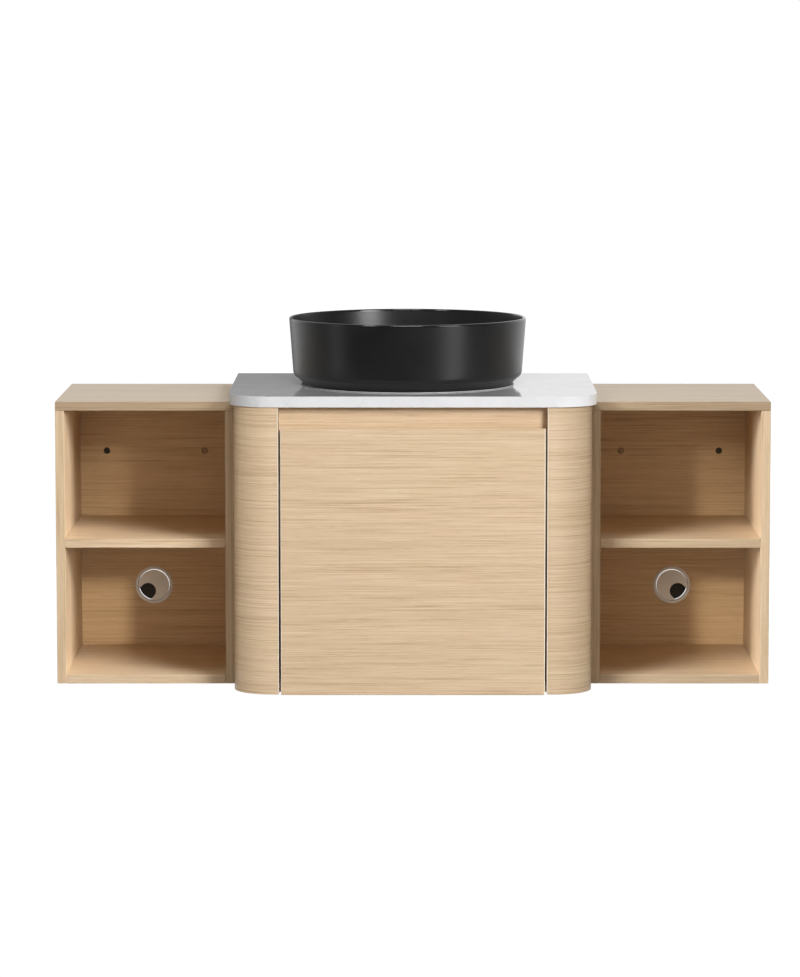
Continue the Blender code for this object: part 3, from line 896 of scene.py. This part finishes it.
def ball_rows(low, high, x):
    """Rows of bearing balls above and below a slide's middle member."""
    bm = bmesh.new()
    count = int((high.y - low.y - 0.02) / BALL_PITCH)
    for height in (high.z + BALL_RADIUS + 0.0001, low.z - BALL_RADIUS - 0.0001):
        for i in range(count):
            place = Matrix.Translation((x, low.y + 0.01 + i * BALL_PITCH, height))
            bmesh.ops.create_icosphere(bm, subdivisions=1, radius=BALL_RADIUS, matrix=place)
    return bm


def drawer_slides():
    for word, sign in SIDES:
        for member, opening in (("cabinet", -sign), ("middle", -sign), ("drawer", sign)):
            node = f"{word}_slide_{member}_member"
            bm = channel_bmesh(*corner_box(node), opening)
            finish_piece(bm, f"{word}_slide_{member}_channel", [node])
        low, high = corner_box(f"{word}_slide_middle_member")
        balls = ball_rows(low, high, (low.x + high.x) / 2)
        middle = f"{word}_slide_middle"
        finish_piece(balls, f"{word}_slide_balls", [], body=middle, slot="zinc_steel", smooth=80)


# Cable grommets and hangers

CAP_RADIUS = 0.0269
CABLE_RADIUS = 0.0140
CABLE_OFFSET = 0.0150
RING_LIP = 0.0024
FOAM_EDGE = 0.0005


def grommet_cap_loop(sign):
    """The cap's outline: its rim, and the notch that opens through the rim, down and outwards."""
    rim_x = (CAP_RADIUS ** 2 - CABLE_RADIUS ** 2) ** 0.5
    edge = degrees(atan2(CABLE_RADIUS, rim_x))
    rim = arc((0, 0), CAP_RADIUS, edge, 360 - edge, 90)
    notch = arc((CABLE_OFFSET, 0), CABLE_RADIUS, 270, 90, 36)
    return turned_about(rim + notch, radians(-45 if sign > 0 else -135))


def cable_grommet(word, sign):
    centre = box_centre(f"{word}_grommet_ring")
    face = corner_box(f"{word}_grommet_ring")[0].y + RING_LIP
    bore, ledge = CAP_RADIUS + 0.0013, CAP_RADIUS + 0.0003
    ring = [
        (bore, 0.0018), (bore + 0.0005, RING_LIP), (0.0300, RING_LIP), (0.0316, 0.0022), (0.0326, 0.0017),
        (0.0331, 0.0010), (0.0331, GAP), (0.0296, GAP), (0.0296, -0.0055), (ledge, -0.0055),
        (ledge, -0.0038), (bore, -0.0038),
    ]
    ring_centre = Vector((centre.x, face, centre.z))
    turned_piece(f"{word}_grommet_flange", f"{word}_grommet_ring", ring, ring_centre, 96, to_front=True)
    cap_low, cap_high = corner_box(f"{word}_grommet_cap")
    loop = [(centre.x + x, centre.z + z) for x, z in grommet_cap_loop(sign)]
    bm = panel_bmesh([loop], cap_low, cap_high)
    round_edges(bm, 0.0002, 2)
    finish_piece(bm, f"{word}_grommet_disc", [f"{word}_grommet_cap"])
    foam_low, foam_high = corner_box(f"{word}_grommet_foam")
    foam_radius = (foam_high.x - foam_low.x) / 2
    half = (foam_high.y - foam_low.y) / 2
    foam = [
        (0, half), (foam_radius - FOAM_EDGE, half), (foam_radius, half - FOAM_EDGE),
        (foam_radius, FOAM_EDGE - half), (foam_radius - FOAM_EDGE, -half), (0, -half),
    ]
    foam_centre = Vector((centre.x, (foam_low.y + foam_high.y) / 2, centre.z))
    turned_piece(
        f"{word}_grommet_seal", f"{word}_grommet_foam", foam, foam_centre, 48, closed=False, to_front=True
    )


def cross_loop(arm, width):
    """The outline of a cross recess."""
    one_arm = ((width, -width), (arm, -width), (arm, width))
    return [point for quarter in range(4) for point in turned_about(one_arm, quarter * pi / 2)]


def hanger_screw(word):
    """A pan-head screw with a cross recess."""
    node = f"{word}_hanger_screw"
    low, high = corner_box(node)
    centre = Vector(((low.x + high.x) / 2, high.y, (low.z + high.z) / 2))
    head = [
        (0.0030, 0.0051), (0.0038, 0.0049), (0.0045, 0.0045), (0.0050, 0.0039), (0.0052, 0.0033),
        (0.0052, 0.0024), (0.0026, 0.0024), (0.0026, 0.0), (0.0, 0.0),
    ]
    bm = turned_bmesh(head, 48, closed=False)
    rim = [e for e in bm.edges if e.is_boundary]
    recess = [bm.verts.new((x, y, 0.0051)) for x, y in cross_loop(0.0022, 0.00045)]
    cross = [bm.edges.new(pair) for pair in zip(recess, recess[1:] + recess[:1])]
    bmesh.ops.triangle_fill(bm, edges=rim + cross, use_beauty=True)
    wall = bmesh.ops.extrude_edge_only(bm, edges=cross)["geom"]
    wall_points = [part for part in wall if isinstance(part, bmesh.types.BMVert)]
    bmesh.ops.translate(bm, vec=(0, 0, -0.0016), verts=wall_points)
    floor = [part for part in wall if isinstance(part, bmesh.types.BMEdge) and part.is_boundary]
    bmesh.ops.triangle_fill(bm, edges=floor, use_beauty=True)
    bmesh.ops.recalc_face_normals(bm, faces=bm.faces)
    bmesh.ops.transform(bm, matrix=TURN_TO_FRONT, verts=bm.verts)
    bmesh.ops.translate(bm, vec=centre, verts=bm.verts)
    finish_piece(bm, f"{word}_fixing_screw", [node], materials=[FINISHES["tan_lacquer"]])


def hanger(word):
    boxed_piece(f"{word}_hanger_strip", f"{word}_hook_strip", 0.0008)
    hanger_screw(word)


def build_pieces():
    centre_cabinet()
    cabinet_floor()
    countertop()
    basin()
    waste_fittings()
    lock_nut()
    pop_up()
    drawer_box()
    plumbing_shield()
    drawer_slides()
    for word, sign in SIDES:
        side_cabinet(word)
        cable_grommet(word, sign)
        hanger(word)


# Stage, light and camera

FLOOR_DROP = 0.35
HANG_HEIGHT = 0.420
CAMERA_PLACE = (0.0, -7.2846, 1.1126 - HANG_HEIGHT)
CAMERA_PITCH = 0.1121
CAMERA_LENS = 153.13
CAMERA_SHIFT = (-0.01317, 0.00076)
LIGHT_TARGET = Vector((0, -0.2, -0.15))
WARM_WHITE = (1, 0.78, 0.56)
SIDE_LAMP_DISTANCE = 4.5
GLOW_COLOUR = (1, 0.86, 0.60)
GLOW_INSET = (0.06, 0.04)


def stage_object(name, bm, grey, emission):
    """A piece of the studio, with a grey surface that may glow white."""
    mesh = mesh_from(bm, name)
    material, _, _ = new_finish(
        name, Roughness=0.9, Base_Color=(grey, grey, grey, 1), Emission_Color=(1, 1, 1, 1),
        Emission_Strength=emission,
    )
    mesh.materials.append(material)
    piece = bpy.data.objects.new(name, mesh)
    bpy.context.scene.collection.objects.link(piece)
    return piece


def pale_floor():
    bm = bmesh.new()
    bmesh.ops.create_grid(bm, x_segments=1, y_segments=1, size=60)
    bmesh.ops.translate(bm, vec=(0, 0, CAD_LOW.z - FLOOR_DROP), verts=bm.verts)
    floor = stage_object("studio_floor", bm, 0.05, 0.98)
    floor.visible_diffuse = False
    floor.visible_glossy = False
    floor.visible_shadow = False


def grey_card():
    """A grey card behind the left half of the stone top, seen only as a reflection in its polish."""
    low, high = corner_box("countertop")
    bm = box_bmesh((low.x - 0.03, 0.02, high.z - 0.004), (0, 0.022, high.z + 0.30))
    card = stage_object("grey_card", bm, 0.02, 0.31)
    card.visible_camera = False
    card.visible_diffuse = False
    card.visible_shadow = False


def aim_lamp(light, target, azimuth, elevation, distance, receivers):
    """Hangs a lamp in a direction from its target. Azimuth is measured from the front towards +X."""
    lamp = bpy.data.objects.new(light.name, light)
    bpy.context.scene.collection.objects.link(lamp)
    turn, rise = radians(azimuth), radians(elevation)
    away = Vector((sin(turn) * cos(rise), -cos(turn) * cos(rise), sin(rise)))
    lamp.location = target + away * distance
    lamp.rotation_mode = "QUATERNION"
    lamp.rotation_quaternion = away.to_track_quat("Z", "Y")
    lamp.light_linking.receiver_collection = receivers
    return lamp


def area_light(name, azimuth, elevation, distance, size, level, receivers, colour=(1, 1, 1)):
    """A soft box that faces the vanity. The level is what a white matt surface that faces it sends back."""
    light = bpy.data.lights.new(name, "AREA")
    light.shape = "RECTANGLE"
    light.size, light.size_y = size
    light.energy = level * pi ** 2 * distance ** 2
    light.color = colour
    return aim_lamp(light, LIGHT_TARGET, azimuth, elevation, distance, receivers)


def studio_world():
    """White to the camera. Polished pieces see a dark studio in front and a white one behind."""
    world = bpy.data.worlds.new("studio")
    bpy.context.scene.world = world
    world.use_nodes = True
    tree = world.node_tree
    tree.nodes.clear()
    direction = add(tree, "TexCoord").outputs["Generated"]
    toward = add(tree, "SeparateXYZ", {0: direction})
    upward = math_node(tree, "MULTIPLY_ADD", toward.outputs["Z"], 0.5, 0.5)
    matt = ramp(tree, upward, (0.0, 0.20), (0.5, 0.12), (1.0, 0.10))
    rearward = math_node(tree, "MULTIPLY_ADD", toward.outputs["Y"], 0.5, 0.5)
    shiny = ramp(tree, rearward, (0.12, 0.02), (0.42, 0.10), (0.62, 0.34), (0.86, 1.08))
    path = add(tree, "LightPath")
    level = mix(tree, path.outputs["Is Glossy Ray"], matt, shiny)
    level = mix(tree, path.outputs["Is Camera Ray"], level, (1, 1, 1))
    background = add(tree, "Background", {"Color": level, "Strength": 1.0})
    output = add(tree, "OutputWorld")
    tree.links.new(background.outputs[0], output.inputs["Surface"])


def studio_camera():
    data = bpy.data.cameras.new("studio_camera")
    data.sensor_width = 36
    data.lens = CAMERA_LENS
    data.shift_x, data.shift_y = CAMERA_SHIFT
    data.clip_end = 200
    camera = bpy.data.objects.new("studio_camera", data)
    bpy.context.scene.collection.objects.link(camera)
    camera.location = CAMERA_PLACE
    camera.rotation_euler = (pi / 2 - CAMERA_PITCH, 0, 0)
    bpy.context.scene.camera = camera


def side_shares(word):
    """The collections of one side cabinet's pieces that single lights reach, or that stop them."""
    shares = {}
    for share, names in SIDE_SHARES.items():
        shares[share] = new_collection(f"{word}_{share}", BACKS if share == "back" else None)
        for name in names:
            shares[share].objects.link(bpy.data.objects[f"{word}_{name}"])
    return shares


def back_glow(word, sign, receivers):
    """A warm beam on the outer lower corner of a side cabinet's back."""
    low, high = corner_box(f"{word}_cabinet_back")
    inset_x, inset_z = GLOW_INSET
    outer_x = low.x + inset_x if sign < 0 else high.x - inset_x
    light = bpy.data.lights.new("back_glow", "SPOT")
    light.spot_size, light.spot_blend, light.shadow_soft_size = radians(5.5), 1.0, 0.25
    light.energy = 0.85 * 4 * pi ** 2 * SIDE_LAMP_DISTANCE ** 2
    light.color = GLOW_COLOUR
    target = Vector((outer_x, low.y, low.z + inset_z))
    aim_lamp(light, target, -27 * sign, 15, SIDE_LAMP_DISTANCE, receivers)


def cabinet_lights():
    """The two side cabinets are lit alike, each from the front on the other cabinet's side."""
    for word, sign in SIDES:
        shares, group = side_shares(word), SIDE_GROUPS[word]
        for name, turn, rise, size, level, receivers, blockers in (
            ("cabinet_key", 37, 27, (1.3, 1.2), 0.31, group, None),
            ("grommet_fill", 20, 15, (1.3, 1.2), 0.33, shares["grommet"], None),
            ("cabinet_depth", 35, 27, (1.6, 1.2), 0.16, group, shares["shading_boards"]),
            ("cabinet_wall", 56, 12, (1.6, 1.2), 0.95, shares["outer_wall"], shares["opening"]),
            ("cabinet_boards", 35, 40, (1.6, 1.2), 0.46, shares["inner_boards"], shares["shading_boards"]),
        ):
            lamp = area_light(name, -turn * sign, rise, SIDE_LAMP_DISTANCE, size, level, receivers)
            lamp.light_linking.blocker_collection = blockers
        back_glow(word, sign, shares["back"])


def outside_lights():
    """Soft light on the outer sides and the back, which the front view doesn't see."""
    for azimuth, elevation, receivers in (
        (-105, 3, SIDE_GROUPS["left"]), (105, 3, SIDE_GROUPS["right"]), (180, 1, None),
    ):
        lamp = area_light("outside_soft", azimuth, elevation, 4, (2, 2), 0.45, receivers)
        lamp.visible_glossy = False


def wall_patch():
    """The wall behind the open back of the middle cabinet. From behind it can't be seen."""
    low, high = corner_box("countertop")
    bottom = corner_box("cabinet_bottom")[0].z
    bm = bmesh.new()
    bmesh.ops.create_grid(bm, x_segments=1, y_segments=1, size=0.5)
    bmesh.ops.scale(bm, vec=(high.x - low.x - 0.04, low.z - bottom - 0.02, 1), verts=bm.verts)
    bmesh.ops.transform(bm, matrix=TURN_TO_FRONT, verts=bm.verts)
    bmesh.ops.translate(bm, vec=(0, 0.003, (low.z + bottom) / 2), verts=bm.verts)
    patch = stage_object("wall_patch", bm, 0.5, 0.0)
    patch.visible_shadow = False
    patch.visible_diffuse = False
    tree = patch.data.materials[0].node_tree
    behind = add(tree, "NewGeometry").outputs["Backfacing"]
    clear = add(tree, "BsdfTransparent").outputs[0]
    both = add(tree, "MixShader", {0: behind, 1: tree.nodes["Principled BSDF"].outputs[0], 2: clear})
    tree.links.new(both.outputs[0], tree.nodes["Material Output"].inputs["Surface"])


def studio():
    for piece in OAK_GROUPS.all_objects:
        if not piece.name.endswith("back_board"):
            FILL_GROUP.objects.link(piece)
    studio_camera()
    studio_world()
    pale_floor()
    grey_card()
    wall_patch()
    area_light("front_key", 25, 19, 8, (2.1, 2.1), 0.76, CENTRE_GROUP)
    area_light("post_key", 4, 19, 7, (2.1, 1.6), 0.66, POST_GROUP)
    area_light("stone_key", 43, 8, 4, (1.7, 2.0), 0.47, STONE_GROUP).visible_glossy = False
    area_light("stone_front", 0, 28, 4, (1.6, 1.0), 0.53, STONE_GROUP).visible_glossy = False
    area_light("basin_key", 40, 18, 4, (1.3, 1.6), 0.48, BASIN_GROUP)
    area_light("basin_low", 46, -6, 4, (1.2, 1.2), 0.06, BASIN_GROUP)
    area_light("basin_rim", -42, 45, 4, (0.7, 0.7), 0.30, BASIN_GROUP)
    area_light("basin_front", 0, 45, 4, (1.6, 1.0), 0.50, BASIN_GROUP)
    area_light("basin_strip", -72, -2, 4, (0.9, 1.2), 0.02, BASIN_GROUP)
    area_light("top_soft", 0, 72, 4, (2.5, 1.5), 0.26, OAK_GROUPS)
    area_light("warm_fill", 0, 10, 5, (4, 3), 0.14, FILL_GROUP, WARM_WHITE)
    area_light("warm_back_fill", 0, 10, 5, (4, 3), 0.07, BACKS, WARM_WHITE)
    outside_lights()
    cabinet_lights()
    bpy.context.scene.view_settings.view_transform = "Standard"


build_pieces()
studio()
